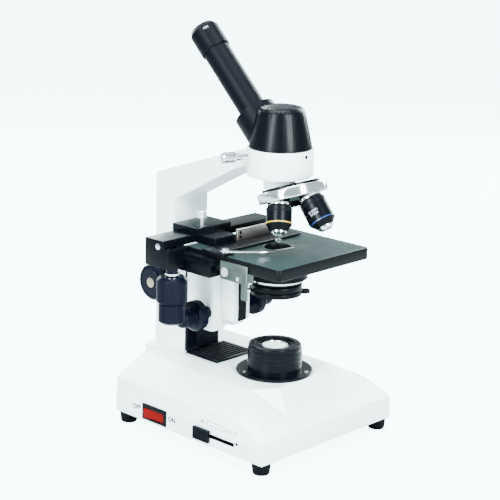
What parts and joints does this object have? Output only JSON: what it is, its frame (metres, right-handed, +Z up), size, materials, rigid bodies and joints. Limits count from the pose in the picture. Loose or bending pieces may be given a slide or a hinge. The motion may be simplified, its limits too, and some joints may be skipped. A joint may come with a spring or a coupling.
{
  "type": "microscope",
  "caption": "Monocular student microscope with inclined eyepiece tube, revolving nosepiece, mechanical stage and a lamp in its base.",
  "frame": {"origin": "centre of the footprint of base and column boss, on the table", "axes": "+Z up, +Y from the lamp towards the column, +X to the right seen from the front"},
  "size_m": [0.1862, 0.218, 0.3868],
  "materials": {
    "white_paint": "satin",
    "black_paint": "satin",
    "steel": "satin",
    "zinc": "dull",
    "chrome": "polished",
    "brass": "satin",
    "rubber": "matte",
    "black_plastic": "satin",
    "knob_plastic": "semi-gloss",
    "red_plastic": "gloss",
    "ceramic": "matte",
    "glass": "clear",
    "frosted": "frosted",
    "board": "satin",
    "pinkish_metal": "polished"
  },
  "bodies": {
    "root": {"base_casting": "white_paint", "bottom_plate": "zinc", "feet": "rubber", "foot_screws": "steel", "vent_plate": "black_plastic", "lamp_housing": "black_plastic", "lamp_window": "frosted", "lamp_holder": "ceramic", "lamp_bulb": "glass", "transformer": "zinc", "dimmer_board": "board", "mains_inlet": "black_plastic", "switch_bezel": "black_plastic", "arm": "white_paint", "column_bolts": "steel", "column_rail": "black_paint", "shaft_bushes": "brass", "nosepiece_mount": "black_paint"},
    "rocker_body": {"rocker": "red_plastic"},
    "dimmer_body": {"dimmer_knob": "black_plastic"},
    "focus_carriage": {"focus_housing": "white_paint", "coarse_rack": "brass"},
    "coarse_drive": {"coarse_shaft": "steel", "coarse_knobs": "knob_plastic"},
    "fine_drive": {"fine_shaft": "steel", "fine_knobs": "knob_plastic"},
    "stage": {"fine_slide": "white_paint", "slide_strip": "black_paint", "stage_bracket": "zinc", "bracket_screws": "steel", "stage_plate": "black_paint", "stage_rack": "steel", "condenser_mount": "black_paint", "condenser_body": "black_paint", "condenser_lens": "glass"},
    "iris": {"iris_ring": "chrome"},
    "filter": {"filter_ring": "black_plastic"},
    "y_carrier": {"y_carriage": "black_paint", "cross_bar": "black_paint"},
    "y_knob": {"upper_stage_knob": "knob_plastic"},
    "x_knob": {"lower_stage_knob": "knob_plastic"},
    "x_carrier": {"x_carriage": "black_paint", "slide_holder": "black_paint", "holder_upright": "pinkish_metal", "finger_screw": "chrome"},
    "thumb": {"thumb_screw": "chrome"},
    "finger": {"spring_finger": "chrome"},
    "turret": {"turret_ring": "chrome", "objective_4x": "black_paint", "objective_10x": "black_paint", "objective_40x": "black_paint", "objective_100x": "black_paint", "front_lenses": "glass"},
    "head_body": {"head": "black_paint", "prism": "glass", "tube_collar": "black_paint", "eyepiece_tube": "black_paint"},
    "eyepiece_body": {"eyepiece": "black_plastic", "eyepiece_lenses": "glass"},
    "clamp": {"clamp_screw": "chrome"}
  },
  "joints": [
    {"name": "rocker_tilt", "type": "hinge", "parent": "root", "child": "rocker_body", "pos_m": [-0.08655, 0.0326, 0.0198], "axis": [0, 0, 1], "range_deg": [-10, 0]},
    {"name": "dimmer_slide", "type": "slide", "parent": "root", "child": "dimmer_body", "axis": [0, -1, 0], "range_m": [0, 0.028]},
    {"name": "coarse_travel", "type": "slide", "parent": "root", "child": "focus_carriage", "axis": [0, 0, 1], "range_m": [-0.014, 0.001]},
    {"name": "coarse_knob", "type": "hinge", "parent": "root", "child": "coarse_drive", "pos_m": [0, 0.0835, 0.133], "axis": [1, 0, 0], "range_deg": [-12, 118]},
    {"name": "fine_knob", "type": "hinge", "parent": "focus_carriage", "child": "fine_drive", "pos_m": [0, 0.0296, 0.11], "axis": [1, 0, 0], "range_deg": [-720, 720]},
    {"name": "fine_travel", "type": "slide", "parent": "focus_carriage", "child": "stage", "axis": [0, 0, 1], "range_m": [-0.001, 0.001]},
    {"name": "iris_turn", "type": "hinge", "parent": "stage", "child": "iris", "pos_m": [0, -0.038, 0.14], "axis": [0, 0, 1], "range_deg": [-30, 25]},
    {"name": "filter_swing", "type": "hinge", "parent": "stage", "child": "filter", "pos_m": [0.02059, -0.01798, 0.14], "axis": [0, 0, 1], "range_deg": [0, 80]},
    {"name": "stage_y", "type": "slide", "parent": "stage", "child": "y_carrier", "axis": [0, 1, 0], "range_m": [-0.012, 0.018]},
    {"name": "stage_x", "type": "slide", "parent": "y_carrier", "child": "x_carrier", "axis": [1, 0, 0], "range_m": [-0.025, 0.03]},
    {"name": "upper_knob_turn", "type": "hinge", "parent": "y_carrier", "child": "y_knob", "pos_m": [-0.076, 0.025, 0.15], "axis": [0, 0, 1], "range_deg": [-162, 108]},
    {"name": "lower_knob_turn", "type": "hinge", "parent": "y_carrier", "child": "x_knob", "pos_m": [-0.076, 0.025, 0.12], "axis": [0, 0, 1], "range_deg": [-290, 240]},
    {"name": "thumb_screw_turn", "type": "hinge", "parent": "x_carrier", "child": "thumb", "pos_m": [-0.034, 0.029, 0.205], "axis": [0, 0, 1], "range_deg": [-90, 90]},
    {"name": "finger_swing", "type": "hinge", "parent": "x_carrier", "child": "finger", "pos_m": [-0.059, -0.027, 0.188], "axis": [0, 0, 1], "range_deg": [-35, 0], "stiffness_Nm_per_rad": 0.03},
    {"name": "nosepiece_turn", "type": "hinge", "parent": "root", "child": "turret", "pos_m": [0, -0.05496, 0.238], "axis": [0, -0.342, -0.9397], "continuous": true},
    {"name": "head_turn", "type": "hinge", "parent": "root", "child": "head_body", "pos_m": [0, -0.038, 0.279], "axis": [0, 0, 1], "continuous": true},
    {"name": "eyepiece_lift", "type": "slide", "parent": "head_body", "child": "eyepiece_body", "axis": [0, 0.7071, 0.7071], "range_m": [0, 0.029]},
    {"name": "clamp_turn", "type": "hinge", "parent": "root", "child": "clamp", "pos_m": [0, -0.038, 0.273], "axis": [-0.9304, 0.3665, 0], "range_deg": [-90, 90]}
  ],
  "couplings": [
    {"joint": "coarse_knob", "follows": "coarse_travel", "rad_per_m": -142.86},
    {"joint": "fine_knob", "follows": "fine_travel", "rad_per_m": 12566},
    {"joint": "upper_knob_turn", "follows": "stage_y", "rad_per_m": -156.25},
    {"joint": "lower_knob_turn", "follows": "stage_x", "rad_per_m": -166.67}
  ]
}
